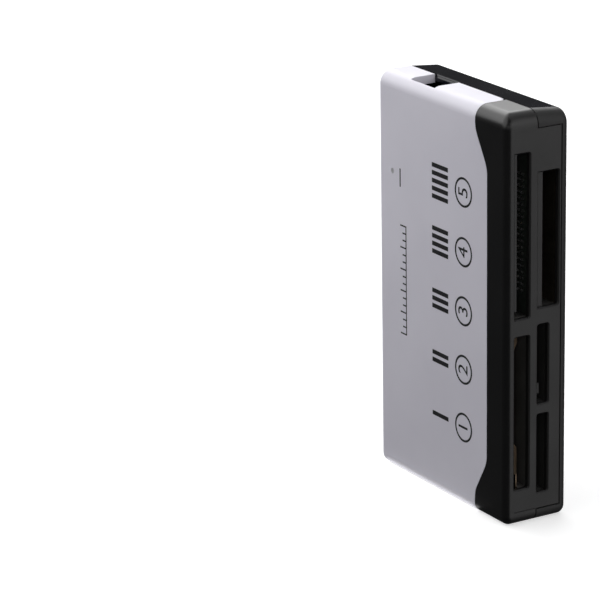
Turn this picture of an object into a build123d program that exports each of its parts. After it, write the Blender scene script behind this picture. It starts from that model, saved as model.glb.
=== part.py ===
import os

from build123d import *

os.makedirs("parts", exist_ok=True)

# A card reader that stands on one short end. Sizes are in millimetres. +Z runs along its
# length, the slot face looks to +X, the light cover to -Y, and the casing parts at Y = 0.

# Casing
width = 61.0
front_depth = 9.5
back_depth = 9.8
wall = 1.8
base_head_slope = 1.0
head_edge_radius = 3.7
foot_edge_radius = 2.8
blind_edge_radius = 2.5
slot_edge_radius = 1.8
back_edge_radius = 1.9
seam_gap = 0.1

# Card slots, measured along the length
header_slot = 43.6
combo_slot = 41.6
wide_slot = 35.9
slim_slot = 21.5
combo_foot = 9.7
header_gap = 4.8
header_head = 10.56
slim_foot = 7.76
slim_gap = 2.85
wide_gap = 4.55

# Card slots, measured across the thickness from the parting plane
front_slot_near = 2.07
front_slot_height = 4.47
header_ledge = 0.82
header_ledge_depth = 0.6
header_foot_notch = 2.1
back_slot_near = 0.57
wide_pocket_height = 6.26
wide_ledge = 1.85
wide_ledge_depth = 1.0
slim_slot_height = 3.3
slot_corner_radius = 0.5
slot_mouth_chamfer = 0.35

# Slot bezel: a wing on the front face that widens at both ends, and the slot panel
wing_end = 14.1
wing_middle = 8.6
wing_bend_outer = 6.05
wing_bend_inner = 15.45
wing_bend_radius = 7.2
panel_foot = 3.6
panel_head = 4.6
panel_reach = 7.5
panel_recess = 0.25
panel_corner_radius = 1.5
panel_gap = 0.3
panel_gap_depth = 0.9
lap_width = 1.5
lap_thickness = 0.8
lap_end_gap = 0.2

# Key nub in the mouth of the upper slim slot
key_height = 0.75
key_length = 2.8
key_offset = 2.8
key_set_back = 0.6

# Posts that hold the board, with a peg on the base and a bore in the front half
post_width = 3.0
post_rib = 1.1
peg_diameter = 1.4
peg_length = 3.2
peg_bore_depth = 2.6
peg_clearance = 0.1
board_hole_clearance = 0.15
post_from_blind = 5.5
post_from_slots = 8.5
post_from_foot = 4.4
post_from_head = 6.8

# Pry notch where cover, bezel and base meet in the head end
notch_width = 1.3
notch_height = 0.7
notch_depth = 0.8

# Snap hooks on the blind wall of the cover
hook_width = 6.0
hook_thickness = 1.1
hook_reach = 3.6
hook_root = 4.0
hook_barb = 0.5
hook_barb_length = 1.4
hook_clearance = 0.15
hook_from_end = 27.0

# Board
board_thickness = 1.6
board_edge_gap = 0.5
board_slot_gap = 0.4
board_corner_radius = 1.0

# Socket in the head end, with a plug recess cut in the cover
usb_from_blind = 19.4
usb_recess_width = 11.4
usb_recess_height = 7.5
usb_recess_depth = 4.1
usb_collar_wall = 1.2
usb_collar_depth = 2.3
usb_collar_root = 0.3
usb_edge_chamfer = 0.35
usb_edge_step = 0.12
usb_width = 7.7
usb_foot_width = 6.4
usb_height = 3.9
usb_shoulder = 1.3
usb_length = 9.2
usb_sheet = 0.3
usb_overhang = 0.3
usb_tab_width = 1.2
usb_tab_length = 2.0
usb_tab_spacing = 5.2
usb_back_block = 2.4
usb_tongue_width = 4.6
usb_tongue_thickness = 0.9
usb_tongue_length = 5.6
usb_contact_count = 5
usb_contact_pitch = 0.8
usb_contact_width = 0.4
usb_contact_thickness = 0.12
usb_contact_length = 4.8

# Header for the large card
header_depth = 24.5
header_body = 5.5
header_rail = 1.4
header_card_gap = 0.2
header_front_gap = 0.3
pin_count = 25
pin_pitch = 1.27
pin_size = 0.45
pin_length = 5.0

# Combination socket: a moulded tray with a hat-shaped sheet over it
socket_set_back = 0.1
combo_depth = 26.0
combo_side = 1.3
combo_back = 2.0
combo_floor = 0.4
combo_thin_height = 2.2
combo_sheet = 0.3
combo_crown_foot = 13.3
combo_crown_head = 6.4
combo_slope_low = 2.4
combo_slope_high = 4.3
combo_flange = 1.6
combo_flare_depth = 0.7
combo_flare_foot = 3.7
combo_flare_reach = 0.1
combo_ear = 1.8
combo_ear_drop = 0.5
combo_contact_count = 9
combo_contact_pitch = 2.5

# Wide socket on the back of the board
wide_depth = 25.0
wide_side = 1.0
wide_back = 2.0
wide_cover_sheet = 0.3
wide_contact_rows = 11
wide_contact_pitch = 2.9
tail_count = 20
tail_pitch = 1.62
tail_size = 0.6
tail_height = 0.38
tail_near_depth = 4.3
tail_row_spacing = 1.65

# Slim sockets on the back of the board
slim_depth = 24.0
slim_side = 1.0
slim_back = 2.0
slim_roof = 0.8
slim_contact_count = 10
slim_contact_pitch = 1.9

# Spring contact strips, common to the sockets
contact_width = 0.9
contact_length = 8.0
contact_thickness = 0.2
contact_rise = 0.55
contact_from_back = 1.0

# Electronics on the board
chip_from_header = 3.0
chip_z = 62.0
chip_size = 10.0
chip_thickness = 1.4
chip_stand_off = 0.1
lead_count = 12
lead_pitch = 0.65
lead_width = 0.28
lead_thickness = 0.15
lead_reach = 1.0
crystal_from_blind = 11.0
crystal_z = 42.0
crystal_length = 11.0
crystal_width = 4.6
crystal_height = 3.4
crystal_base_height = 0.5
crystal_base_rim = 0.3
regulator_from_blind = 17.0
regulator_z = 90.5
regulator_width = 6.5
regulator_length = 3.5
regulator_height = 1.7
capacitor_size = (2.0, 1.25, 1.2)
resistor_size = (1.6, 0.8, 0.45)
small_part_spacing = 4.0
capacitor_from_blind = 9.0
capacitor_z = 24.0
capacitor_count = 5
resistor_from_blind = 14.0
resistor_z = 24.0
resistor_count = 6
light_from_blind = 7.6
light_from_head = 26.2
led_width = 1.25
led_length = 2.0
led_height = 0.8
light_hole_diameter = 1.5
light_clearance = 0.05
light_flange_diameter = 3.0
light_flange = 0.8
light_gap = 0.2

# Places that follow from the sizes
length = combo_foot + combo_slot + header_gap + header_slot + header_head
half = width / 2
slot_inner = half - wall
combo_low = combo_foot
combo_high = combo_low + combo_slot
header_low = combo_high + header_gap
header_high = header_low + header_slot
lower_slim_low = slim_foot
upper_slim_low = lower_slim_low + slim_slot + slim_gap
wide_low = upper_slim_low + slim_slot + wide_gap
wide_high = wide_low + wide_slot
front_slot_far = front_slot_near + front_slot_height
header_slot_far = front_slot_far - header_ledge
wide_slot_near = back_slot_near + wide_ledge
wide_slot_far = back_slot_near + wide_pocket_height
slim_slot_far = back_slot_near + slim_slot_height
panel_low = panel_foot
panel_high = length - panel_head
front_inner = front_depth - wall
back_inner = back_depth - wall
socket_face = slot_inner - socket_set_back
board_low = wall + board_edge_gap
board_high = length - usb_recess_depth - usb_overhang
board_left = -half + wall + hook_thickness + board_edge_gap
board_right = slot_inner - board_slot_gap
usb_x = -half + usb_from_blind
usb_mouth = length - usb_recess_depth
post_heights = (post_from_foot, length - post_from_head)
cover_posts = [(-half + post_from_blind, height) for height in post_heights]
bezel_posts = [(half - post_from_slots, height) for height in post_heights]
light_place = (-half + light_from_blind, length - light_from_head)


def span(x_low, x_high, y_low, y_high, mode=Mode.ADD):
    # a rectangle in a sketch, given by its edges
    with Locations(((x_low + x_high) / 2, (y_low + y_high) / 2)):
        Rectangle(x_high - x_low, y_high - y_low, mode=mode)


def from_board_front(height=0.0):
    # sketch plane that looks to -Y, at a height above the front of the board
    return Plane.XZ.offset(board_thickness + height)


def from_board_back(height=0.0):
    # sketch plane that looks to +Y, at a height above the back of the board
    return Plane(origin=(0, height, 0), x_dir=(1, 0, 0), z_dir=(0, 1, 0))


def upper_block(inset):
    # front half of the casing, drawn in by inset on all sides but the parting plane
    with BuildPart() as block:
        with BuildSketch(Plane.XZ):
            span(-half + inset, half - inset, inset, length - inset)
        extrude(amount=front_depth - inset)
        for place, radius in ((-1, head_edge_radius), (0, foot_edge_radius)):
            front_edges = block.faces().sort_by(Axis.Y)[0].edges().filter_by(Axis.X)
            fillet(front_edges.sort_by(Axis.Z)[place], radius - inset)
    return block.part


def base_block(inset):
    # back half of the casing: its head end slopes down towards the back
    depth = back_depth - inset
    slope = base_head_slope * depth / back_depth
    with BuildPart() as block:
        with BuildSketch(Plane.XZ):
            span(-half + inset, half - inset, inset, length - inset)
        with BuildSketch(Plane.XZ.offset(-depth)):
            span(-half + inset, half - inset, inset, length - inset - slope)
        loft(ruled=True)
    return block.part


def wing_outline(shift=0.0, mode=Mode.ADD):
    # the bezel seen from the front; shift moves its curved edge towards the cover
    end_x = half - wing_end - shift
    middle_x = half - wing_middle - shift
    beyond = wall
    with BuildLine() as outline:
        FilletPolyline(
            (end_x, -beyond),
            (end_x, wing_bend_outer),
            (middle_x, wing_bend_inner),
            (middle_x, length - wing_bend_inner),
            (end_x, length - wing_bend_outer),
            (end_x, length + beyond),
            radius=wing_bend_radius,
        )
        Polyline(
            (end_x, length + beyond),
            (half + beyond, length + beyond),
            (half + beyond, -beyond),
            (end_x, -beyond),
        )
    make_face(outline.edges(), mode=mode)


def post_row(places):
    # square posts from the front wall down to the board, each with a blind bore for a peg
    with BuildSketch(from_board_front()) as squares:
        with Locations(*places):
            Rectangle(post_width, post_width)
    extrude(squares.sketch, amount=front_inner - board_thickness + wall / 2)
    with BuildSketch(from_board_front()) as bores:
        with Locations(*places):
            Circle(peg_diameter / 2 + peg_clearance)
    extrude(bores.sketch, amount=peg_bore_depth, mode=Mode.SUBTRACT)


def contact_strip(x_back, z_middle, floor_plane):
    # a spring contact: a flat strip that rises to a rounded tip towards the mouth
    with BuildSketch(floor_plane(z_middle)) as profile:
        with BuildLine():
            Polyline(
                (x_back, 0),
                (x_back, contact_thickness),
                (x_back + contact_length * 0.6, contact_rise + contact_thickness),
                (x_back + contact_length, contact_rise * 0.3 + contact_thickness),
                (x_back + contact_length, contact_rise * 0.3),
                (x_back + contact_length * 0.6, contact_rise),
                (x_back + contact_thickness * 3, 0),
                close=True,
            )
        make_face()
    extrude(profile.sketch, amount=contact_width / 2, both=True)


upper_outer = upper_block(0)
upper_cavity = upper_block(wall)
base_outer = base_block(0)
base_cavity = base_block(wall)

# Light cover
with BuildPart() as top_cover:
    add(upper_outer)
    blind_rim = top_cover.faces().sort_by(Axis.X)[0].edges().sort_by(Axis.Y)[:-1]
    fillet(blind_rim, blind_edge_radius)
    add(upper_cavity, mode=Mode.SUBTRACT)
    # side walls of the plug recess
    with BuildSketch(Plane.XY.offset(length - usb_collar_depth)):
        for side in (-1, 1):
            inner = usb_x + side * usb_recess_width / 2
            outer = inner + side * usb_collar_wall
            span(min(inner, outer), max(inner, outer), -front_inner - usb_collar_root, 0)
    extrude(amount=usb_collar_depth - wall + usb_collar_root)
    with BuildSketch(Plane.XY.offset(length - usb_collar_depth)):
        span(usb_x - usb_recess_width / 2, usb_x + usb_recess_width / 2, -usb_recess_height, 0)
    extrude(amount=usb_collar_depth + wall, mode=Mode.SUBTRACT)
    post_row(cover_posts)
    # snap hooks that reach past the parting plane into the base
    for hook_z in (hook_from_end, length - hook_from_end):
        hook_x = -half + wall
        with BuildSketch(Plane.XY.offset(hook_z)):
            with BuildLine():
                Polyline(
                    (hook_x - wall / 2, -hook_root),
                    (hook_x + hook_thickness, -hook_root),
                    (hook_x + hook_thickness, hook_reach),
                    (hook_x, hook_reach),
                    (hook_x - hook_barb, hook_reach - hook_barb_length / 2),
                    (hook_x, hook_reach - hook_barb_length),
                    (hook_x, -seam_gap),
                    (hook_x - wall / 2, -seam_gap),
                    close=True,
                )
            make_face()
        extrude(amount=hook_width / 2, both=True)
    with BuildSketch(Plane.XZ.offset(front_inner - wall)):
        with Locations(light_place):
            Circle(light_hole_diameter / 2)
    extrude(amount=3 * wall, mode=Mode.SUBTRACT)
    with BuildSketch(Plane.XY.offset(length - notch_depth)):
        span(half - wing_end - notch_width, half - wing_end, -notch_height, 0)
    extrude(amount=notch_depth, mode=Mode.SUBTRACT)
    with BuildSketch(Plane.XZ):
        wing_outline(seam_gap)
    extrude(amount=front_depth, mode=Mode.SUBTRACT)
top_cover.part.label = "top_cover"
export_step(top_cover.part, "parts/top_cover.step")

# Slot bezel, one moulding with its wing and slot panel
with BuildPart() as front_bezel:
    with BuildSketch(Plane.XZ):
        span(-half, half, 0, length)
    extrude(amount=front_depth)
    # the long front edge of the slot side, then the rims of its head and foot ends round that corner
    upright_edges = front_bezel.edges().filter_by(Axis.Z)
    fillet(upright_edges.sort_by(Axis.X)[-2:].sort_by(Axis.Y)[0], slot_edge_radius)
    for end, radius in ((-1, head_edge_radius), (0, foot_edge_radius)):
        end_rim = front_bezel.faces().sort_by(Axis.Z)[end].edges()
        fillet(end_rim.sort_by(Axis.X)[1:].sort_by(Axis.Y)[:-1], radius)
    add(upper_cavity, mode=Mode.SUBTRACT)
    with BuildSketch(Plane.XZ):
        wing_outline()
    extrude(amount=front_depth, mode=Mode.INTERSECT)
    with BuildSketch(Plane.YZ.offset(slot_inner)):
        span(-wall, panel_reach, panel_low, panel_high)
    extrude(amount=wall)
    # lap that backs the seam with the cover
    with BuildSketch(Plane.XZ.offset(front_inner - lap_thickness)):
        wing_outline(lap_width)
        wing_outline(-lap_width, mode=Mode.SUBTRACT)
        span(
            -half,
            half,
            foot_edge_radius + lap_end_gap,
            length - head_edge_radius - lap_end_gap,
            mode=Mode.INTERSECT,
        )
    extrude(amount=lap_thickness)
    post_row(bezel_posts)
    # shallow recess that the slots open from
    with BuildSketch(Plane.YZ.offset(half)) as recess:
        span(-front_depth + slot_edge_radius, panel_reach + wall, panel_low, panel_high)
        fillet(recess.vertices().sort_by(Axis.X)[:2], panel_corner_radius)
    extrude(amount=-panel_recess, mode=Mode.SUBTRACT)
    mouths = [
        (-header_slot_far, -front_slot_near, header_low, header_high),
        (-front_slot_far, -front_slot_near, combo_low, combo_high),
        (back_slot_near, slim_slot_far, lower_slim_low, lower_slim_low + slim_slot),
        (back_slot_near, slim_slot_far, upper_slim_low, upper_slim_low + slim_slot),
        (wide_slot_near, wide_slot_far, wide_low, wide_high),
    ]
    with BuildSketch(Plane.YZ.offset(half)):
        for near, far, low, high in mouths:
            with Locations(((near + far) / 2, (low + high) / 2)):
                RectangleRounded(far - near, high - low, slot_corner_radius)
        span(
            -front_slot_far,
            -header_slot_far + slot_corner_radius,
            header_low,
            header_low + header_foot_notch,
        )
    extrude(amount=-wall, mode=Mode.SUBTRACT)
    # ledges set back in the mouths of the header slot and the wide slot
    with BuildSketch(Plane.YZ.offset(half)):
        span(-front_slot_far, -header_slot_far + slot_corner_radius, header_low, header_high)
    extrude(amount=-panel_recess - header_ledge_depth, mode=Mode.SUBTRACT)
    with BuildSketch(Plane.YZ.offset(half)):
        span(back_slot_near, wide_slot_near + slot_corner_radius, wide_low, wide_high)
    extrude(amount=-panel_recess - wide_ledge_depth, mode=Mode.SUBTRACT)
    slot_face = front_bezel.faces().filter_by(Axis.X).sort_by(Axis.X)
    panel_face = [face for face in slot_face if face.inner_wires()][-1]
    chamfer([edge for wire in panel_face.inner_wires() for edge in wire.edges()], slot_mouth_chamfer)
    # key nub in the mouth of the upper slim slot
    with BuildSketch(Plane.YZ.offset(slot_inner)):
        span(
            back_slot_near - slot_mouth_chamfer,
            back_slot_near + key_height,
            upper_slim_low + key_offset,
            upper_slim_low + key_offset + key_length,
        )
    extrude(amount=wall - panel_recess - key_set_back)
front_bezel.part.label = "front_bezel"
export_step(front_bezel.part, "parts/front_bezel.step")

# Back shell with its notch for the slot panel
with BuildPart() as base_shell:
    add(base_outer)
    corner_edges = base_shell.edges().filter_by(lambda edge: edge.bounding_box().size.Y > wall)
    blind_corners = corner_edges.sort_by(Axis.X)[:2]
    slot_corners = corner_edges.sort_by(Axis.X)[-2:].sort_by(Axis.Z)
    fillet(blind_corners, blind_edge_radius)
    fillet(slot_corners[0], foot_edge_radius)
    fillet(slot_corners[1], head_edge_radius)
    fillet(base_shell.faces().sort_by(Axis.Y)[-1].edges(), back_edge_radius)
    add(base_cavity, mode=Mode.SUBTRACT)
    with BuildSketch(Plane.YZ.offset(slot_inner - seam_gap)):
        span(-wall, panel_reach + panel_gap / 2, panel_low - panel_gap, panel_high + panel_gap)
    extrude(amount=2 * wall, mode=Mode.SUBTRACT)
    # shadow gap between the corner blocks and the bezel
    with BuildSketch(Plane.XZ.offset(-panel_gap)):
        span(half - wing_end, half + wall, -wall, length + wall)
        span(
            -half,
            half - panel_gap_depth,
            panel_gap_depth,
            length - panel_gap_depth,
            mode=Mode.SUBTRACT,
        )
    extrude(amount=2 * panel_gap, mode=Mode.SUBTRACT)
    # cross-ribbed posts under the board, each with a round peg
    posts = cover_posts + bezel_posts
    with BuildSketch(from_board_back()):
        with Locations(*[(x, -z) for x, z in posts]):
            Rectangle(post_width, post_rib)
            Rectangle(post_rib, post_width)
    extrude(amount=back_inner + wall / 2)
    with BuildSketch(from_board_back()):
        with Locations(*[(x, -z) for x, z in posts]):
            Circle(peg_diameter / 2)
    extrude(amount=-peg_length)
    # pockets for the snap hooks
    for hook_z in (hook_from_end, length - hook_from_end):
        with BuildSketch(Plane.XY.offset(hook_z)):
            span(
                -half + wall - hook_barb - hook_clearance,
                -half + 2 * wall,
                -wall,
                hook_reach + hook_clearance,
            )
        extrude(amount=hook_width / 2 + hook_clearance, both=True, mode=Mode.SUBTRACT)
    # edge along the plug recess, eased in two steps
    with BuildSketch(Plane.YZ.offset(usb_x)):
        with BuildLine():
            Polyline(
                (0, length - 2 * usb_edge_chamfer - usb_edge_step),
                (usb_edge_chamfer, length - usb_edge_chamfer - usb_edge_step),
                (usb_edge_chamfer, length - usb_edge_chamfer),
                (2 * usb_edge_chamfer + wall, length + wall),
                (0, length + wall),
                close=True,
            )
        make_face()
    extrude(amount=usb_recess_width / 2, both=True, mode=Mode.SUBTRACT)
base_shell.part.label = "base_shell"
export_step(base_shell.part, "parts/base_shell.step")

# Circuit board
with BuildPart() as main_board:
    with BuildSketch(Plane.XZ) as outline:
        span(board_left, board_right, board_low, board_high)
        fillet(outline.vertices(), board_corner_radius)
        with Locations(*cover_posts, *bezel_posts):
            Circle(peg_diameter / 2 + board_hole_clearance, mode=Mode.SUBTRACT)
    extrude(amount=board_thickness)
main_board.part.label = "main_board"
export_step(main_board.part, "parts/main_board.step")


def usb_section(inset, mode=Mode.ADD):
    # section of the plug socket, narrower on the side of the board
    wide = usb_width / 2 - inset
    narrow = usb_foot_width / 2 - inset
    low = board_thickness + inset
    high = board_thickness + usb_height - inset
    with BuildLine() as section:
        Polyline(
            (usb_x - narrow, -low),
            (usb_x + narrow, -low),
            (usb_x + wide, -low - usb_shoulder),
            (usb_x + wide, -high),
            (usb_x - wide, -high),
            (usb_x - wide, -low - usb_shoulder),
            close=True,
        )
    make_face(section.edges(), mode=mode)


# Plug socket: a folded shell with four solder tabs
usb_back = usb_mouth - usb_length
with BuildPart() as usb_socket_shell:
    with BuildSketch(Plane.XY.offset(usb_back)):
        usb_section(0)
        usb_section(usb_sheet, mode=Mode.SUBTRACT)
    extrude(amount=usb_length)
    tab_middle = usb_back + usb_length / 2
    with BuildSketch(from_board_front()):
        for side in (-1, 1):
            inner = usb_x + side * (usb_foot_width / 2 - usb_sheet / 2)
            outer = usb_x + side * (usb_width / 2 + usb_tab_width)
            for end in (-1, 1):
                tab_z = tab_middle + end * usb_tab_spacing / 2
                span(
                    min(inner, outer),
                    max(inner, outer),
                    tab_z - usb_tab_length / 2,
                    tab_z + usb_tab_length / 2,
                )
    extrude(amount=usb_sheet)
usb_socket_shell.part.label = "usb_socket_shell"
export_step(usb_socket_shell.part, "parts/usb_socket_shell.step")

tongue_low = board_thickness + usb_height / 2 - usb_tongue_thickness / 2
with BuildPart() as usb_socket_insulator:
    with BuildSketch(Plane.XY.offset(usb_back)):
        usb_section(usb_sheet)
    extrude(amount=usb_back_block)
    with BuildSketch(Plane.XY.offset(usb_back + usb_back_block)):
        span(
            usb_x - usb_tongue_width / 2,
            usb_x + usb_tongue_width / 2,
            -tongue_low - usb_tongue_thickness,
            -tongue_low,
        )
    extrude(amount=usb_tongue_length)
usb_socket_insulator.part.label = "usb_socket_insulator"
export_step(usb_socket_insulator.part, "parts/usb_socket_insulator.step")

usb_contact_columns = range(usb_contact_count)
usb_contact_first = usb_x - usb_contact_pitch * (usb_contact_count - 1) / 2
with BuildPart() as usb_contacts:
    with BuildSketch(Plane.XZ.offset(tongue_low + usb_tongue_thickness)):
        for column in usb_contact_columns:
            contact_x = usb_contact_first + column * usb_contact_pitch
            span(
                contact_x - usb_contact_width / 2,
                contact_x + usb_contact_width / 2,
                usb_back + usb_back_block,
                usb_back + usb_back_block + usb_contact_length,
            )
    extrude(amount=usb_contact_thickness)
usb_contacts.part.label = "usb_contacts"
export_step(usb_contacts.part, "parts/usb_contacts.step")

# Header for the large card: a U of insulator body and two guide rails
header_front = half - header_depth
header_back = header_front - header_body
header_bottom = header_low - header_rail
header_top = header_high + header_rail
with BuildPart() as pin_header:
    with BuildSketch(from_board_front()):
        span(header_back, socket_face, header_bottom, header_top)
        span(
            header_front,
            socket_face,
            header_low + header_card_gap,
            header_high - header_card_gap,
            mode=Mode.SUBTRACT,
        )
    extrude(amount=front_inner - lap_thickness - header_front_gap - board_thickness)
pin_header.part.label = "pin_header"
export_step(pin_header.part, "parts/pin_header.step")

pin_middle = -(front_slot_near + header_slot_far) / 2
header_middle = (header_low + header_high) / 2
with BuildPart() as header_pins:
    with BuildSketch(Plane.YZ.offset(header_front)):
        with Locations((pin_middle, header_middle)):
            with GridLocations(pin_pitch, pin_pitch, 2, pin_count):
                Rectangle(pin_size, pin_size)
    extrude(amount=pin_length)
header_pins.part.label = "header_pins"
export_step(header_pins.part, "parts/header_pins.step")

# Combination socket: tray, hat-shaped sheet and contacts
combo_back_x = half - wall - combo_depth
tray_low = combo_low - combo_side
tray_high = combo_high + combo_side
tray_top = front_slot_near + combo_thin_height
with BuildPart() as combo_socket_base:
    with BuildSketch(from_board_front()):
        span(combo_back_x, socket_face, tray_low, tray_high)
    extrude(amount=tray_top - board_thickness)
    with BuildSketch(from_board_front(combo_floor)):
        span(combo_back_x + combo_back, socket_face, combo_low, combo_high)
    extrude(amount=tray_top, mode=Mode.SUBTRACT)
combo_socket_base.part.label = "combo_socket_base"
export_step(combo_socket_base.part, "parts/combo_socket_base.step")

crown_low = combo_low + combo_crown_foot
crown_high = combo_high - combo_crown_head
crown_top = front_slot_far - combo_sheet / 2
flare_back = socket_face - combo_flare_depth
flare_edge = front_slot_far + combo_flare_reach


def flared_lips():
    # lips that lean out from both shoulders at the mouth; the foot one ends in a small ear
    flare_foot = combo_low + combo_flare_foot
    with BuildPart() as lips:
        with BuildSketch(Plane.XY.offset(flare_foot)):
            with BuildLine():
                Polyline(
                    (flare_back, -tray_top),
                    (socket_face, -flare_edge),
                    (socket_face, -flare_edge - combo_sheet),
                    (flare_back, -tray_top - combo_sheet),
                    close=True,
                )
            make_face()
        extrude(amount=combo_high - flare_foot)
        with BuildSketch(Plane.YZ.offset(flare_back)) as outlines:
            with BuildLine() as foot_lip:
                Polyline(
                    (-tray_top, flare_foot),
                    (-flare_edge + combo_ear_drop, flare_foot),
                    (-flare_edge - combo_sheet, flare_foot + combo_ear),
                    (-flare_edge - combo_sheet, crown_low),
                    (-tray_top, crown_low - combo_slope_low),
                    close=True,
                )
            make_face(foot_lip.edges())
            with BuildLine() as head_lip:
                Polyline(
                    (-tray_top, combo_high),
                    (-flare_edge - combo_sheet, combo_high),
                    (-flare_edge - combo_sheet, crown_high),
                    (-tray_top, crown_high + combo_slope_high),
                    close=True,
                )
            make_face(head_lip.edges())
        extrude(outlines.sketch, amount=combo_flare_depth, mode=Mode.INTERSECT)
    return lips.part


with BuildPart() as combo_socket_cover:
    with BuildSketch(Plane.YZ.offset(combo_back_x)):
        with BuildLine() as hat:
            Polyline(
                (-tray_top + combo_flange, tray_low),
                (-tray_top, tray_low),
                (-tray_top, crown_low - combo_slope_low),
                (-crown_top, crown_low),
                (-crown_top, crown_high),
                (-tray_top, crown_high + combo_slope_high),
                (-tray_top, tray_high),
                (-tray_top + combo_flange, tray_high),
            )
            offset(hat.line, amount=combo_sheet, side=Side.LEFT, closed=True)
        make_face()
    extrude(amount=flare_back - combo_back_x)
    add(flared_lips())
combo_socket_cover.part.label = "combo_socket_cover"
export_step(combo_socket_cover.part, "parts/combo_socket_cover.step")


def front_floor(z_middle):
    # strip plane on the tray floor: +X along the strip, height towards -Y
    return Plane(origin=(0, -board_thickness - combo_floor, z_middle), x_dir=(1, 0, 0), z_dir=(0, 0, -1))


combo_middle = (crown_low + crown_high) / 2
combo_first = combo_middle - combo_contact_pitch * (combo_contact_count - 1) / 2
with BuildPart() as combo_contacts:
    for place in range(combo_contact_count):
        contact_strip(
            combo_back_x + combo_back + contact_from_back,
            combo_first + place * combo_contact_pitch,
            front_floor,
        )
combo_contacts.part.label = "combo_contacts"
export_step(combo_contacts.part, "parts/combo_contacts.step")

# Wide socket: thick floor, side rails and a flat cover sheet
wide_back_x = half - wall - wide_depth
with BuildPart() as wide_socket_base:
    with BuildSketch(Plane.YZ.offset(wide_back_x)):
        span(0, wide_slot_far, wide_low - wide_side, wide_high + wide_side)
    extrude(amount=socket_face - wide_back_x)
    with BuildSketch(Plane.YZ.offset(wide_back_x + wide_back)):
        span(wide_slot_near, wide_slot_far, wide_low, wide_high)
    extrude(amount=wide_depth, mode=Mode.SUBTRACT)
wide_socket_base.part.label = "wide_socket_base"
export_step(wide_socket_base.part, "parts/wide_socket_base.step")

with BuildPart() as wide_socket_cover:
    with BuildSketch(Plane.YZ.offset(wide_back_x)):
        span(wide_slot_far, wide_slot_far + wide_cover_sheet, wide_low - wide_side, wide_high + wide_side)
    extrude(amount=socket_face - wide_back_x)
wide_socket_cover.part.label = "wide_socket_cover"
export_step(wide_socket_cover.part, "parts/wide_socket_cover.step")


def wide_floor(z_middle):
    # strip plane on the wide socket's floor: +X along the strip, height towards +Y
    return Plane(origin=(0, wide_slot_near, z_middle), x_dir=(1, 0, 0), z_dir=(0, 0, 1))


wide_first = (wide_low + wide_high) / 2 - wide_contact_pitch * (wide_contact_rows - 1) / 2
with BuildPart() as wide_contacts:
    for place in range(wide_contact_rows):
        contact_strip(
            wide_back_x + wide_back + contact_from_back,
            wide_first + place * wide_contact_pitch,
            wide_floor,
        )
wide_contacts.part.label = "wide_contacts"
export_step(wide_contacts.part, "parts/wide_contacts.step")

# Soldered ends of the wide socket's two rows of tails, on the front of the board
tail_x = half - tail_near_depth - tail_row_spacing / 2
with BuildPart() as wide_socket_tails:
    with BuildSketch(from_board_front()):
        with Locations((tail_x, header_middle)):
            with GridLocations(tail_row_spacing, tail_pitch, 2, tail_count):
                Rectangle(tail_size, tail_size)
    extrude(amount=tail_height)
wide_socket_tails.part.label = "wide_socket_tails"
export_step(wide_socket_tails.part, "parts/wide_socket_tails.step")

# Two slim sockets, each a moulded sleeve with a row of contacts
slim_back_x = half - wall - slim_depth


def slim_floor(z_middle):
    # strip plane on a slim socket's floor: +X along the strip, height towards +Y
    return Plane(origin=(0, back_slot_near, z_middle), x_dir=(1, 0, 0), z_dir=(0, 0, 1))


for level, low in (("lower", lower_slim_low), ("upper", upper_slim_low)):
    high = low + slim_slot
    with BuildPart() as slim_socket:
        with BuildSketch(Plane.YZ.offset(slim_back_x)):
            span(0, slim_slot_far + slim_roof, low - slim_side, high + slim_side)
        extrude(amount=socket_face - slim_back_x)
        with BuildSketch(Plane.YZ.offset(slim_back_x + slim_back)):
            span(back_slot_near, slim_slot_far, low, high)
        extrude(amount=slim_depth, mode=Mode.SUBTRACT)
    slim_socket.part.label = "slim_socket_" + level
    export_step(slim_socket.part, "parts/slim_socket_" + level + ".step")
    first = (low + high) / 2 - slim_contact_pitch * (slim_contact_count - 1) / 2
    with BuildPart() as slim_contacts:
        for place in range(slim_contact_count):
            contact_strip(
                slim_back_x + slim_back + contact_from_back,
                first + place * slim_contact_pitch,
                slim_floor,
            )
    slim_contacts.part.label = "slim_contacts_" + level
    export_step(slim_contacts.part, "parts/slim_contacts_" + level + ".step")

# Controller chip with leads on its four sides
chip_x = header_back - chip_from_header - lead_reach - chip_size / 2
with BuildPart() as controller_chip:
    with BuildSketch(from_board_front(chip_stand_off)):
        with Locations((chip_x, chip_z)):
            Rectangle(chip_size, chip_size)
    extrude(amount=chip_thickness)
    chamfer(controller_chip.faces().sort_by(Axis.Y)[0].edges(), chip_thickness / 6)
controller_chip.part.label = "controller_chip"
export_step(controller_chip.part, "parts/controller_chip.step")

lead_place = (chip_size + lead_reach) / 2
with BuildPart() as chip_leads:
    with BuildSketch(from_board_front()):
        with Locations((chip_x, chip_z)):
            for side in (-lead_place, lead_place):
                with Locations((side, 0)):
                    with GridLocations(lead_pitch, lead_pitch, 1, lead_count):
                        Rectangle(lead_reach, lead_width)
                with Locations((0, side)):
                    with GridLocations(lead_pitch, lead_pitch, lead_count, 1):
                        Rectangle(lead_width, lead_reach)
    extrude(amount=lead_thickness)
chip_leads.part.label = "chip_leads"
export_step(chip_leads.part, "parts/chip_leads.step")

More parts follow.
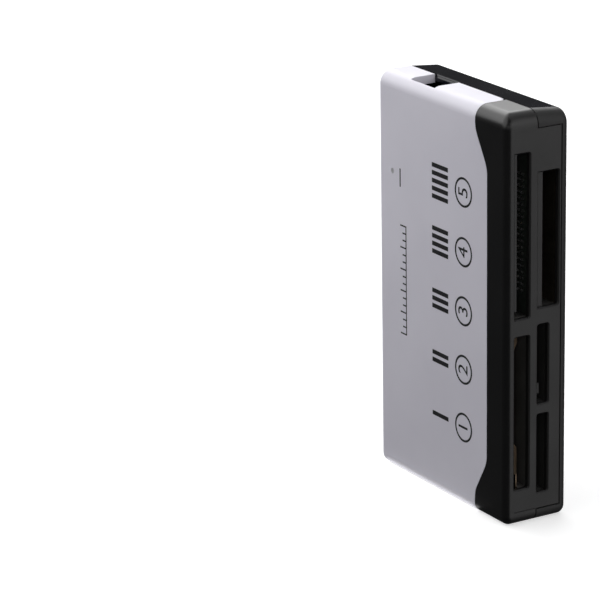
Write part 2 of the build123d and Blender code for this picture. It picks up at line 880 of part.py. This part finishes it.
# Crystal in its can, on a rimmed base
crystal_x = -half + crystal_from_blind
with BuildPart() as crystal:
    with BuildSketch(from_board_front()):
        with Locations((crystal_x, crystal_z)):
            SlotOverall(
                crystal_length + 2 * crystal_base_rim,
                crystal_width + 2 * crystal_base_rim,
                rotation=90,
            )
    extrude(amount=crystal_base_height)
    with BuildSketch(from_board_front(crystal_base_height)):
        with Locations((crystal_x, crystal_z)):
            SlotOverall(crystal_length, crystal_width, rotation=90)
    extrude(amount=crystal_height - crystal_base_height)
    chamfer(crystal.faces().sort_by(Axis.Y)[0].edges(), crystal_base_height)
crystal.part.label = "crystal"
export_step(crystal.part, "parts/crystal.step")

# Voltage regulator
regulator_x = -half + regulator_from_blind
with BuildPart() as voltage_regulator:
    with BuildSketch(from_board_front()):
        with Locations((regulator_x, regulator_z)):
            Rectangle(regulator_length, regulator_width)
    extrude(amount=regulator_height)
    chamfer(voltage_regulator.faces().sort_by(Axis.Y)[0].edges(), regulator_height / 6)
voltage_regulator.part.label = "voltage_regulator"
export_step(voltage_regulator.part, "parts/voltage_regulator.step")

# Rows of small chip capacitors and resistors
small_rows = (
    ("capacitors", capacitor_size, capacitor_from_blind, capacitor_z, capacitor_count),
    ("resistors", resistor_size, resistor_from_blind, resistor_z, resistor_count),
)
for name, size, from_blind, middle_z, count in small_rows:
    with BuildPart() as small_parts:
        with BuildSketch(from_board_front()):
            with Locations((-half + from_blind, middle_z)):
                with GridLocations(small_part_spacing, small_part_spacing, 1, count):
                    Rectangle(size[0], size[1])
        extrude(amount=size[2])
    small_parts.part.label = name
    export_step(small_parts.part, "parts/" + name + ".step")

# Status light and the clear pipe that carries it to the cover's face
with BuildPart() as status_led:
    with BuildSketch(from_board_front()):
        with Locations(light_place):
            Rectangle(led_width, led_length)
    extrude(amount=led_height)
status_led.part.label = "status_led"
export_step(status_led.part, "parts/status_led.step")

pipe_foot = board_thickness + led_height + light_gap
with BuildPart() as light_pipe:
    with BuildSketch(Plane.XZ.offset(pipe_foot)):
        with Locations(light_place):
            Circle(light_hole_diameter / 2 - light_clearance)
    extrude(amount=front_depth - pipe_foot - light_clearance)
    with BuildSketch(Plane.XZ.offset(front_inner - light_flange)):
        with Locations(light_place):
            Circle(light_flange_diameter / 2)
    extrude(amount=light_flange)
light_pipe.part.label = "light_pipe"
export_step(light_pipe.part, "parts/light_pipe.step")
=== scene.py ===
import math

import bpy
import bmesh
from mathutils import Matrix, Quaternion, Vector


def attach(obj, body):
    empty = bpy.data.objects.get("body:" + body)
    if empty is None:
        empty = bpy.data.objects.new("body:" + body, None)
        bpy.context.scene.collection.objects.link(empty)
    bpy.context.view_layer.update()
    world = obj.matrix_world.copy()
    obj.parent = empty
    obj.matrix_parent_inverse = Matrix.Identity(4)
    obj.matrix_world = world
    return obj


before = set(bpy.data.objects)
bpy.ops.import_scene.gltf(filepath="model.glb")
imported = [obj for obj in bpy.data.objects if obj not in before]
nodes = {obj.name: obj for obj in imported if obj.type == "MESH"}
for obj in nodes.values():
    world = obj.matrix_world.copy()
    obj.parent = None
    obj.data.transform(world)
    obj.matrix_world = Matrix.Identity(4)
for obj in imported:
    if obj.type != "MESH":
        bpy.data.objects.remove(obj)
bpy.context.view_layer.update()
mm = 0.001
print("frame loaded with", len(nodes), "nodes")


# camera, at the photograph's viewing angle
photoView = {
    "azimuth": 59.447,
    "elevation": 17.631,
    "roll": -0.95,
    "distance": 0.87395,
    "aim": (-0.02283, -0.03867, 0.05327),
    "lens": 199.12,
    "sensor": 36.0,
    "clip": (0.05, 60.0),
}


def makeCamera(view):
    turn = math.radians(view["azimuth"])
    rise = math.radians(view["elevation"])
    back = Vector((
        math.sin(turn) * math.cos(rise),
        -math.cos(turn) * math.cos(rise),
        math.sin(rise),
    ))
    lensData = bpy.data.cameras.new("photoCamera")
    lensData.lens = view["lens"]
    lensData.sensor_width = view["sensor"]
    lensData.clip_start, lensData.clip_end = view["clip"]
    camera = bpy.data.objects.new("photoCamera", lensData)
    camera.rotation_mode = "QUATERNION"
    level = (-back).to_track_quat("-Z", "Y")
    camera.rotation_quaternion = level @ Quaternion((0, 0, 1), math.radians(view["roll"]))
    camera.location = Vector(view["aim"]) + back * view["distance"]
    bpy.context.scene.collection.objects.link(camera)
    bpy.context.scene.camera = camera


makeCamera(photoView)
print("camera placed")


# small helpers for node trees
def addNode(tree, kind, **settings):
    node = tree.nodes.new(kind)
    for key, value in settings.items():
        setattr(node, key, value)
    return node


def wire(tree, source, outName, target, inName):
    tree.links.new(source.outputs[outName], target.inputs[inName])


def newGroup(name, inputs, outputs):
    group = bpy.data.node_groups.new(name, "ShaderNodeTree")
    for label, value in inputs.items():
        socket = group.interface.new_socket(
            name=label, in_out="INPUT", socket_type="NodeSocketFloat"
        )
        socket.default_value = value
    for label in outputs:
        group.interface.new_socket(name=label, in_out="OUTPUT", socket_type="NodeSocketFloat")
    return group, group.nodes.new("NodeGroupInput"), group.nodes.new("NodeGroupOutput")


def placeGroup(tree, group, values):
    node = addNode(tree, "ShaderNodeGroup", node_tree=group)
    for label, value in values.items():
        node.inputs[label].default_value = value
    return node


# mould grain: the spark-eroded skin that a mould leaves on plastic
grainLook = {
    "grainSize": 4200.0,
    "cloudSize": 60.0,
    "fineDetail": 2.0,
    "fineRough": 0.6,
    "cloudDetail": 3.0,
}


def makeMouldGrain(look):
    group, inside, outside = newGroup(
        "mouldGrain",
        {"grainSize": look["grainSize"], "cloudSize": look["cloudSize"]},
        ["height", "cloud"],
    )
    place = addNode(group, "ShaderNodeTexCoord")
    fine = addNode(group, "ShaderNodeTexNoise")
    fine.inputs["Detail"].default_value = look["fineDetail"]
    fine.inputs["Roughness"].default_value = look["fineRough"]
    cloud = addNode(group, "ShaderNodeTexNoise")
    cloud.inputs["Detail"].default_value = look["cloudDetail"]
    wire(group, place, "Object", fine, "Vector")
    wire(group, place, "Object", cloud, "Vector")
    wire(group, inside, "grainSize", fine, "Scale")
    wire(group, inside, "cloudSize", cloud, "Scale")
    wire(group, fine, "Fac", outside, "height")
    wire(group, cloud, "Fac", outside, "cloud")
    return group


# rolled streaks: the drawn lines on sheet metal and plated strips
streakLook = {
    "streakSize": 900.0,
    "spotSize": 220.0,
    "stretch": (0.06, 1.0, 1.0),
    "lineDetail": 3.0,
    "spotDetail": 4.0,
}


def makeRolledStreaks(look):
    group, inside, outside = newGroup(
        "rolledStreaks",
        {"streakSize": look["streakSize"], "spotSize": look["spotSize"]},
        ["streak", "spot"],
    )
    place = addNode(group, "ShaderNodeTexCoord")
    stretch = addNode(group, "ShaderNodeMapping")
    stretch.inputs["Scale"].default_value = look["stretch"]
    lines = addNode(group, "ShaderNodeTexNoise")
    lines.inputs["Detail"].default_value = look["lineDetail"]
    spots = addNode(group, "ShaderNodeTexNoise")
    spots.inputs["Detail"].default_value = look["spotDetail"]
    wire(group, place, "Object", stretch, "Vector")
    wire(group, stretch, "Vector", lines, "Vector")
    wire(group, place, "Object", spots, "Vector")
    wire(group, inside, "streakSize", lines, "Scale")
    wire(group, inside, "spotSize", spots, "Scale")
    wire(group, lines, "Fac", outside, "streak")
    wire(group, spots, "Fac", outside, "spot")
    return group


mouldGrain = makeMouldGrain(grainLook)
rolledStreaks = makeRolledStreaks(streakLook)
print("shared effects made")


def startMaterial(name):
    material = bpy.data.materials.new(name)
    material.use_nodes = True
    tree = material.node_tree
    shader = tree.nodes["Principled BSDF"]
    return material, tree, shader


noiseSpan = (0.3, 0.7)  # where most values of a noise lie
mixSockets = {"FLOAT": (2, 3, 0), "RGBA": (6, 7, 2)}  # a Mix node's A, B and Result


def ramp(tree, low, high, span=(0.0, 1.0)):
    node = addNode(tree, "ShaderNodeValToRGB")
    for stop, place, colour in zip(node.color_ramp.elements, span, (low, high)):
        stop.position = place
        stop.color = (*colour, 1.0)
    return node


def spread(tree, source, outName, low, high, fromLow=noiseSpan[0], fromHigh=noiseSpan[1]):
    node = addNode(tree, "ShaderNodeMapRange")
    node.inputs["From Min"].default_value = fromLow
    node.inputs["From Max"].default_value = fromHigh
    node.inputs["To Min"].default_value = low
    node.inputs["To Max"].default_value = high
    wire(tree, source, outName, node, "Value")
    return node


def mixBy(tree, kind, mask, low, high):
    node = addNode(tree, "ShaderNodeMix", data_type=kind)
    first, second, result = mixSockets[kind]
    tree.links.new(mask, node.inputs[0])
    tree.links.new(low, node.inputs[first])
    tree.links.new(high, node.inputs[second])
    return node.outputs[result]


def toneFrom(tree, shader, source, outName, tones, span=(0.0, 1.0)):
    tone = ramp(tree, *tones, span)
    wire(tree, source, outName, tone, "Fac")
    wire(tree, tone, "Color", shader, "Base Color")


def roughFrom(tree, shader, source, outName, roughs):
    rough = spread(tree, source, outName, *roughs)
    wire(tree, rough, "Result", shader, "Roughness")


def bumpFrom(tree, shader, source, outName, look):
    bump = addNode(tree, "ShaderNodeBump")
    bump.inputs["Strength"].default_value = look["bump"]
    bump.inputs["Distance"].default_value = look["depth"]
    wire(tree, source, outName, bump, "Height")
    wire(tree, bump, "Normal", shader, "Normal")


# moulded plastics: two tones, a roughness range and a grain
plasticLooks = {
    "coverWhite": {
        "tone": ((0.75, 0.735, 0.82), (0.79, 0.775, 0.86)),
        "rough": (0.36, 0.44),
        "grain": 4200.0,
        "cloud": 45.0,
        "bump": 0.08,
        "depth": 0.04 * mm,
        "specular": 0.45,
    },
    "socketPlastic": {
        "tone": ((0.100, 0.097, 0.093), (0.140, 0.136, 0.130)),
        "rough": (0.5, 0.62),
        "grain": 6000.0,
        "cloud": 150.0,
        "bump": 0.15,
        "depth": 0.04 * mm,
        "specular": 0.4,
    },
    "guideBlack": {
        "tone": ((0.050, 0.049, 0.047), (0.068, 0.066, 0.064)),
        "rough": (0.52, 0.64),
        "grain": 6000.0,
        "cloud": 150.0,
        "bump": 0.15,
        "depth": 0.04 * mm,
        "specular": 0.3,
    },
    "chipResin": {
        "tone": ((0.014, 0.014, 0.015), (0.024, 0.023, 0.022)),
        "rough": (0.55, 0.7),
        "grain": 9000.0,
        "cloud": 300.0,
        "bump": 0.2,
        "depth": 0.03 * mm,
        "specular": 0.4,
    },
    "markInk": {
        "tone": ((0.012, 0.012, 0.014), (0.020, 0.020, 0.022)),
        "rough": (0.45, 0.6),
        "grain": 7000.0,
        "cloud": 900.0,
        "bump": 0.1,
        "depth": 0.02 * mm,
        "specular": 0.3,
    },
    "capacitorCeramic": {
        "tone": ((0.26, 0.17, 0.10), (0.34, 0.23, 0.14)),
        "rough": (0.4, 0.55),
        "grain": 8000.0,
        "cloud": 600.0,
        "bump": 0.1,
        "depth": 0.03 * mm,
        "specular": 0.5,
    },
    "boardLaminate": {
        "tone": ((0.040, 0.050, 0.042), (0.056, 0.068, 0.058)),
        "rough": (0.3, 0.42),
        "grain": 2600.0,
        "cloud": 500.0,
        "bump": 0.1,
        "depth": 0.04 * mm,
        "specular": 0.5,
    },
}


def placeGrain(tree, look):
    return placeGroup(tree, mouldGrain, {"grainSize": look["grain"], "cloudSize": look["cloud"]})


def makePlastic(name, look):
    material, tree, shader = startMaterial(name)
    grain = placeGrain(tree, look)
    toneFrom(tree, shader, grain, "cloud", look["tone"], noiseSpan)
    roughFrom(tree, shader, grain, "cloud", look["rough"])
    bumpFrom(tree, shader, grain, "height", look)
    shader.inputs["Specular IOR Level"].default_value = look["specular"]
    return material


# black mouldings with two finishes: polished outside, spark-eroded and greyer on the slot side;
# the greyer slot-side tone is partly painted light, standing in for the light that side catches
finishAndLightLooks = {
    "bezelBlack": {
        "polished": ((0.0045, 0.0045, 0.005), (0.006, 0.006, 0.0065)),
        "eroded": ((0.018, 0.0175, 0.018), (0.024, 0.0235, 0.024)),
        "faceX": (28.3 * mm, 28.6 * mm),
        "faceY": (-7.75 * mm, -7.6 * mm),
        "polishedRough": (0.33, 0.38),
        "erodedRough": (0.42, 0.5),
        "grain": 4600.0,
        "cloud": 70.0,
        "bump": 0.12,
        "depth": 0.05 * mm,
        "specular": 0.45,
    },
    "baseBlack": {
        "polished": ((0.006, 0.006, 0.009), (0.009, 0.009, 0.0135)),
        "eroded": ((0.034, 0.0335, 0.034), (0.042, 0.0415, 0.042)),
        "faceX": (26.4 * mm, 27.0 * mm),
        "faceY": (-1.0 * mm, 0.0),
        "polishedRough": (0.08, 0.11),
        "erodedRough": (0.42, 0.5),
        "grain": 5200.0,
        "cloud": 80.0,
        "bump": 0.12,
        "depth": 0.04 * mm,
        "specular": 0.22,
    },
}


def makeFinishAndPaintedLight(name, look):
    material, tree, shader = startMaterial(name)
    grain = placeGrain(tree, look)
    place = addNode(tree, "ShaderNodeTexCoord")
    split = addNode(tree, "ShaderNodeSeparateXYZ")
    wire(tree, place, "Object", split, "Vector")
    # mask of the slot side by position: there the rougher finish is real, and the lighter tone is
    # painted light
    sideX = spread(tree, split, "X", 0.0, 1.0, *look["faceX"])
    sideY = spread(tree, split, "Y", 0.0, 1.0, *look["faceY"])
    paintedLightSide = addNode(tree, "ShaderNodeMath", operation="MULTIPLY")
    tree.links.new(sideX.outputs["Result"], paintedLightSide.inputs[0])
    tree.links.new(sideY.outputs["Result"], paintedLightSide.inputs[1])
    mask = paintedLightSide.outputs[0]
    # the slot side takes the lighter tone: painted light for the light it catches, not a colour of
    # the plastic
    tones = [ramp(tree, *look[finish]) for finish in ("polished", "eroded")]
    for tone in tones:
        wire(tree, grain, "cloud", tone, "Fac")
    colour = mixBy(tree, "RGBA", mask, *[tone.outputs["Color"] for tone in tones])
    tree.links.new(colour, shader.inputs["Base Color"])
    roughs = [spread(tree, grain, "cloud", *look[key]) for key in ("polishedRough", "erodedRough")]
    rough = mixBy(tree, "FLOAT", mask, *[node.outputs["Result"] for node in roughs])
    tree.links.new(rough, shader.inputs["Roughness"])
    bumpFrom(tree, shader, grain, "height", look)
    shader.inputs["Specular IOR Level"].default_value = look["specular"]
    return material


# metals: plated sheet, gilt strips and solder
metalLooks = {
    "tinnedSheet": {
        "tone": ((0.30, 0.25, 0.19), (0.50, 0.44, 0.36)),
        "rough": (0.28, 0.45),
        "streak": 900.0,
        "spot": 220.0,
        "bump": 0.05,
        "depth": 0.03 * mm,
    },
    "bronzedSheet": {
        "tone": ((0.13, 0.095, 0.065), (0.22, 0.165, 0.115)),
        "rough": (0.34, 0.5),
        "streak": 900.0,
        "spot": 220.0,
        "bump": 0.05,
        "depth": 0.03 * mm,
    },
    "giltContact": {
        "tone": ((0.62, 0.42, 0.15), (0.83, 0.60, 0.25)),
        "rough": (0.18, 0.32),
        "streak": 2400.0,
        "spot": 700.0,
        "bump": 0.03,
        "depth": 0.03 * mm,
    },
    "solderTin": {
        "tone": ((0.62, 0.62, 0.61), (0.80, 0.80, 0.78)),
        "rough": (0.3, 0.5),
        "streak": 3000.0,
        "spot": 1800.0,
        "bump": 0.1,
        "depth": 0.03 * mm,
    },
}


def makeMetal(name, look):
    material, tree, shader = startMaterial(name)
    sizes = {"streakSize": look["streak"], "spotSize": look["spot"]}
    streaks = placeGroup(tree, rolledStreaks, sizes)
    toneFrom(tree, shader, streaks, "spot", look["tone"])
    roughFrom(tree, shader, streaks, "streak", look["rough"])
    bumpFrom(tree, shader, streaks, "streak", look)
    shader.inputs["Metallic"].default_value = 1.0
    return material


# frosted acrylic of the light pipe
acrylicLook = {
    "tone": ((0.50, 0.50, 0.53), (0.58, 0.58, 0.61)),
    "rough": (0.3, 0.42),
    "grain": 3000.0,
    "cloud": 400.0,
    "ior": 1.49,
    "clear": 0.25,
}


def makeAcrylic(name, look):
    material, tree, shader = startMaterial(name)
    grain = placeGrain(tree, look)
    toneFrom(tree, shader, grain, "cloud", look["tone"])
    roughFrom(tree, shader, grain, "cloud", look["rough"])
    shader.inputs["Transmission Weight"].default_value = look["clear"]
    shader.inputs["IOR"].default_value = look["ior"]
    return material


materials = {name: makePlastic(name, look) for name, look in plasticLooks.items()}
materials.update({name: makeMetal(name, look) for name, look in metalLooks.items()})
materials.update({name: makeFinishAndPaintedLight(name, look) for name, look in finishAndLightLooks.items()})
materials["frostedAcrylic"] = makeAcrylic("frostedAcrylic", acrylicLook)

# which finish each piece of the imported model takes
nodeFinish = {
    "coverWhite": ["top_cover"],
    "bezelBlack": ["front_bezel"],
    "baseBlack": ["base_shell"],
    "boardLaminate": ["main_board"],
    "socketPlastic": ["usb_socket_insulator", "combo_socket_base"],
    "guideBlack": ["pin_header", "wide_socket_base", "slim_socket_lower", "slim_socket_upper"],
    "tinnedSheet": ["usb_socket_shell", "wide_socket_cover", "crystal"],
    "bronzedSheet": ["combo_socket_cover"],
    "giltContact": [
        "usb_contacts", "header_pins", "combo_contacts", "wide_contacts",
        "slim_contacts_lower", "slim_contacts_upper",
    ],
    "solderTin": ["wide_socket_tails", "chip_leads"],
    "chipResin": ["controller_chip", "voltage_regulator", "resistors"],
    "capacitorCeramic": ["capacitors"],
    "frostedAcrylic": ["light_pipe", "status_led"],
}
for finish, names in nodeFinish.items():
    for name in names:
        nodes[name].data.materials.clear()
        nodes[name].data.materials.append(materials[finish])
print("finishes given to", sum(len(names) for names in nodeFinish.values()), "nodes")


# printed marks on the light face: plain numbers in rings, groups of bars and a small scale;
# u runs up the face (+Z) and v to its blind side (-X), so that they read from the foot up
markLook = {
    "face": -9.5 * mm,
    "ink": 0.02 * mm,
    "numbers": "12345",
    "numberRow": 11.0 * mm,
    "barRow": 0.0,
    "firstRow": 22.0 * mm,
    "rowStep": 16.0 * mm,
    "ring": (4.0 * mm, 3.4 * mm),
    "ringSteps": 48,
    "textSize": 6.2 * mm,
    "bar": (1.2 * mm, 7.6 * mm),
    "barStep": 2.1 * mm,
    "scaleRow": -16.5 * mm,
    "scaleFrom": 40.0 * mm,
    "scaleLength": 30.0 * mm,
    "scaleLine": 0.4 * mm,
    "tickStep": 2.0 * mm,
    "ticks": (2.6 * mm, 1.5 * mm),
    "longEvery": 3,
    "lightRow": -19.2 * mm,
    "lightDash": (80.5 * mm, 5.0 * mm, 0.5 * mm),
}


def addPlate(shape, u, v, length, height):
    place = Matrix.Translation((u, v, 0)) @ Matrix.Diagonal((length, height, 1, 1))
    bmesh.ops.create_grid(shape, x_segments=1, y_segments=1, size=0.5, matrix=place)


def addRing(shape, u, v, outer, inner, steps):
    edges = []
    for radius in (outer, inner):
        place = Matrix.Translation((u, v, 0))
        rim = bmesh.ops.create_circle(shape, segments=steps, radius=radius, matrix=place)
        edges.extend({edge for vert in rim["verts"] for edge in vert.link_edges})
    bmesh.ops.bridge_loops(shape, edges=edges)


def addNumber(shape, u, v, text, size):
    curve = bpy.data.curves.new("number", "FONT")
    curve.body = text
    curve.size = size
    curve.align_x = "CENTER"
    curve.align_y = "CENTER"
    letter = bpy.data.objects.new("number", curve)
    bpy.context.scene.collection.objects.link(letter)
    depsgraph = bpy.context.evaluated_depsgraph_get()
    flat = bpy.data.meshes.new_from_object(letter.evaluated_get(depsgraph))
    flat.transform(Matrix.Translation((u, v, 0)))
    shape.from_mesh(flat)
    bpy.data.objects.remove(letter)
    bpy.data.curves.remove(curve)
    bpy.data.meshes.remove(flat)


def addNumbers(shape, look):
    row = -look["numberRow"]
    for index, text in enumerate(look["numbers"]):
        u = look["firstRow"] + index * look["rowStep"]
        addRing(shape, u, row, *look["ring"], look["ringSteps"])
        addNumber(shape, u, row, text, look["textSize"])
        count = int(text)
        for bar in range(count):
            offset = (bar - (count - 1) / 2) * look["barStep"]
            addPlate(shape, u + offset, -look["barRow"], *look["bar"])


def addScale(shape, look):
    row = -look["scaleRow"]
    line = look["scaleLine"]
    span = look["scaleLength"]
    addPlate(shape, look["scaleFrom"] + span / 2, row, span + line, line)
    longTick, shortTick = look["ticks"]
    for tick in range(int(span / look["tickStep"]) + 1):
        height = shortTick if tick % look["longEvery"] else longTick
        u = look["scaleFrom"] + tick * look["tickStep"]
        addPlate(shape, u, row + (height + line) / 2, line, height)


def makeMarks(look):
    shape = bmesh.new()
    addNumbers(shape, look)
    addScale(shape, look)
    start, length, height = look["lightDash"]
    addPlate(shape, start + length / 2, -look["lightRow"], length, height)
    raised = bmesh.ops.extrude_face_region(shape, geom=shape.faces[:])
    lifted = [item for item in raised["geom"] if isinstance(item, bmesh.types.BMVert)]
    bmesh.ops.translate(shape, verts=lifted, vec=(0, 0, look["ink"]))
    bmesh.ops.recalc_face_normals(shape, faces=shape.faces[:])
    # from (u, v, ink) to its place on the light face
    upright = Matrix(((0, -1, 0, 0), (0, 0, -1, look["face"]), (1, 0, 0, 0), (0, 0, 0, 1)))
    bmesh.ops.transform(shape, matrix=upright, verts=shape.verts[:])
    sheet = bpy.data.meshes.new("printedMarks")
    shape.to_mesh(sheet)
    shape.free()
    sheet.materials.append(materials["markInk"])
    marks = bpy.data.objects.new("printedMarks", sheet)
    bpy.context.scene.collection.objects.link(marks)
    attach(marks, "root")


makeMarks(markLook)
print("marks printed")


# pale floor, which glows a little so that it stays white, and sends no light back to the part
floorLook = {
    "size": 24.0,
    "tone": (0.74, 0.74, 0.745),
    "rough": 0.8,
    "glow": 0.56,
}


def makeFloor(look):
    shape = bmesh.new()
    bmesh.ops.create_grid(shape, x_segments=1, y_segments=1, size=look["size"] / 2)
    sheet = bpy.data.meshes.new("floor")
    shape.to_mesh(sheet)
    shape.free()
    floor = bpy.data.objects.new("floor", sheet)
    bpy.context.scene.collection.objects.link(floor)
    material, _, shader = startMaterial("paleFloor")
    shader.inputs["Base Color"].default_value = (*look["tone"], 1.0)
    shader.inputs["Roughness"].default_value = look["rough"]
    shader.inputs["Specular IOR Level"].default_value = 0.0
    shader.inputs["Emission Color"].default_value = (1, 1, 1, 1)
    shader.inputs["Emission Strength"].default_value = look["glow"]
    sheet.materials.append(material)
    floor.visible_glossy = False
    floor.visible_diffuse = False


makeFloor(floorLook)


# soft studio light: large boxes on all sides, a small one near the light face that adds no gloss,
# a strip for the bounce under the foot, and a dim room with one pale side
boxLights = [
    {
        "name": "overheadBox",
        "place": (-0.3, 0.75, 1.5),
        "aim": (-0.3, 0.75, 0),
        "size": (1.5, 1.7),
        "power": 3.6,
    },
    {
        "name": "leftBackBox",
        "place": (-1.32, 0.78, 0.91),
        "aim": (-0.1, 0.06, -0.06),
        "size": (1.5, 0.7),
        "power": 13.5,
    },
    {
        "name": "leftSideBox",
        "place": (-1.1, -0.3, 0.54),
        "aim": (0, -0.3, 0.54),
        "size": (1.0, 0.74),
        "power": 2.0,
    },
    {
        "name": "rightSideBox",
        "place": (1.0, 0.5, 0.55),
        "aim": (0, 0, 0.1),
        "size": (1.4, 0.9),
        "power": 5.8,
    },
    {
        "name": "frontTopBox",
        "place": (-0.2, -0.25, 0.39),
        "aim": (0, 0, 0.09),
        "size": (1.0, 0.56),
        "power": 2.8,
    },
    {
        "name": "weakFillBox",
        "place": (0.75, -0.55, 0.35),
        "aim": (0, 0, 0.06),
        "size": (0.3, 0.3),
        "power": 0.45,
    },
    {
        "name": "leftNearBox",
        "place": (-0.15, -0.05, 0.085),
        "aim": (0, -0.01, 0.065),
        "size": (0.05, 0.15),
        "power": 0.02,
        "gloss": False,
    },
    {
        "name": "footBounce",
        "place": (-0.0065, -0.0084, 0.0003),
        "aim": (-0.0065, -0.0084, 1),
        "size": (0.045, 0.0046),
        "power": 0.0008,
    },
]
roomLook = {
    "dim": 0.045,
    "pale": 1.05,
    "paleSide": (0.82, 0.46, -0.3),
    "from": 0.89,
    "to": 0.975,
    "seen": 0.9,
}


def makeBoxLight(box):
    lamp = bpy.data.lights.new(box["name"], "AREA")
    lamp.shape = "RECTANGLE"
    lamp.size, lamp.size_y = box["size"]
    lamp.energy = box["power"]
    light = bpy.data.objects.new(box["name"], lamp)
    light.location = box["place"]
    aim = Vector(box["aim"]) - Vector(box["place"])
    light.rotation_mode = "QUATERNION"
    light.rotation_quaternion = aim.to_track_quat("-Z", "Y")
    light.visible_camera = False  # gives light, but shows as no panel
    light.visible_glossy = box.get("gloss", True)
    bpy.context.scene.collection.objects.link(light)


def makeRoom(look):
    world = bpy.data.worlds.new("studioRoom")
    world.use_nodes = True
    tree = world.node_tree
    backdrop = tree.nodes["Background"]
    backdrop.inputs["Color"].default_value = (1, 1, 1, 1)
    place = addNode(tree, "ShaderNodeTexCoord")
    toSide = addNode(tree, "ShaderNodeVectorMath", operation="DOT_PRODUCT")
    toSide.inputs[1].default_value = Vector(look["paleSide"]).normalized()
    tree.links.new(place.outputs["Generated"], toSide.inputs[0])
    level = spread(tree, toSide, "Value", look["dim"], look["pale"], look["from"], look["to"])
    level.interpolation_type = "SMOOTHSTEP"
    # what the camera sees of the room has one even level
    path = addNode(tree, "ShaderNodeLightPath")
    shown = addNode(tree, "ShaderNodeMix", data_type="FLOAT")
    first, second, result = mixSockets["FLOAT"]
    shown.inputs[second].default_value = look["seen"]
    tree.links.new(path.outputs["Is Camera Ray"], shown.inputs[0])
    tree.links.new(level.outputs["Result"], shown.inputs[first])
    tree.links.new(shown.outputs[result], backdrop.inputs["Strength"])
    bpy.context.scene.world = world


for box in boxLights:
    makeBoxLight(box)
makeRoom(roomLook)
bpy.context.scene.view_settings.view_transform = "Standard"
print("floor and light set")
